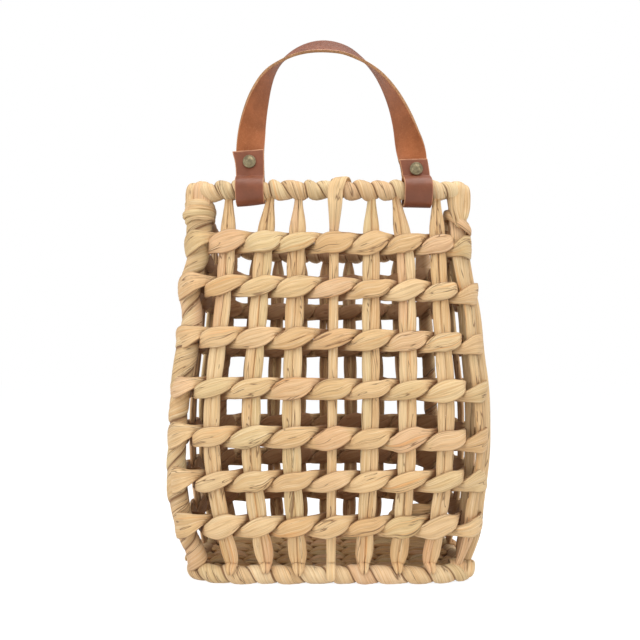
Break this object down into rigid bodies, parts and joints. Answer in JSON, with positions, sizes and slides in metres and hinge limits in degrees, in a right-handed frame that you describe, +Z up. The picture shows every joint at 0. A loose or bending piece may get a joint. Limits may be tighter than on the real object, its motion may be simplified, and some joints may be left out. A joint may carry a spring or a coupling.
{
  "type": "wall basket",
  "caption": "Open-weave rectangular wall basket of twined plant strands, with a leather strap handle riveted round one rim.",
  "frame": {"origin": "middle of the box, on the surface that the foot rests on", "axes": "+Z up; -Y out of the wall that carries the handle, which hangs against the wall; +X to the right seen from that side"},
  "size_m": [0.2379, 0.159, 0.3936],
  "materials": {
    "strand_fibre": "dry plant strand, matt with a faint sheen",
    "post_fibre": "dry plant strand, matt",
    "rope_fibre": "bound plant strand, matt",
    "base_fibre": "dry plant strand, matt",
    "strap_leather": "smooth tan leather, suede on the flesh side",
    "rivet_brass": "antique brass"
  },
  "bodies": {
    "basket": {"corner_post_near_left": "post_fibre", "corner_post_near_right": "post_fibre", "corner_post_far_left": "post_fibre", "corner_post_far_right": "post_fibre", "near_stake_1": "strand_fibre", "near_stake_2": "strand_fibre", "near_stake_3": "strand_fibre", "near_stake_4": "strand_fibre", "near_stake_5": "strand_fibre", "near_stake_6": "strand_fibre", "near_stake_7": "strand_fibre", "far_stake_1": "strand_fibre", "far_stake_2": "strand_fibre", "far_stake_3": "strand_fibre", "far_stake_4": "strand_fibre", "far_stake_5": "strand_fibre", "far_stake_6": "strand_fibre", "far_stake_7": "strand_fibre", "left_stake_1": "strand_fibre", "left_stake_2": "strand_fibre", "left_stake_3": "strand_fibre", "right_stake_1": "strand_fibre", "right_stake_2": "strand_fibre", "right_stake_3": "strand_fibre", "row_1_strand_a": "strand_fibre", "row_1_strand_b": "strand_fibre", "row_2_strand_a": "strand_fibre", "row_2_strand_b": "strand_fibre", "row_3_strand_a": "strand_fibre", "row_3_strand_b": "strand_fibre", "row_4_strand_a": "strand_fibre", "row_4_strand_b": "strand_fibre", "row_5_strand_a": "strand_fibre", "row_5_strand_b": "strand_fibre", "row_6_strand_a": "strand_fibre", "row_6_strand_b": "strand_fibre", "row_7_strand_a": "strand_fibre", "row_7_strand_b": "strand_fibre", "rim_rope": "rope_fibre", "border_rope": "rope_fibre", "base_stake_1": "base_fibre", "base_stake_2": "base_fibre", "base_stake_3": "base_fibre", "base_stake_4": "base_fibre", "base_stake_5": "base_fibre", "base_stake_6": "base_fibre", "base_stake_7": "base_fibre", "base_weaver": "base_fibre"},
    "handle": {"handle_strap": "strap_leather", "rivet_cap_left": "rivet_brass", "rivet_cap_right": "rivet_brass", "rivet_post_left": "rivet_brass", "rivet_post_right": "rivet_brass"}
  },
  "joints": [
    {"name": "handle_swing", "type": "hinge", "parent": "basket", "child": "handle", "pos_m": [0, -0.06466, 0.2815], "axis": [1, 0, 0], "range_deg": [-140, 140]}
  ]
}
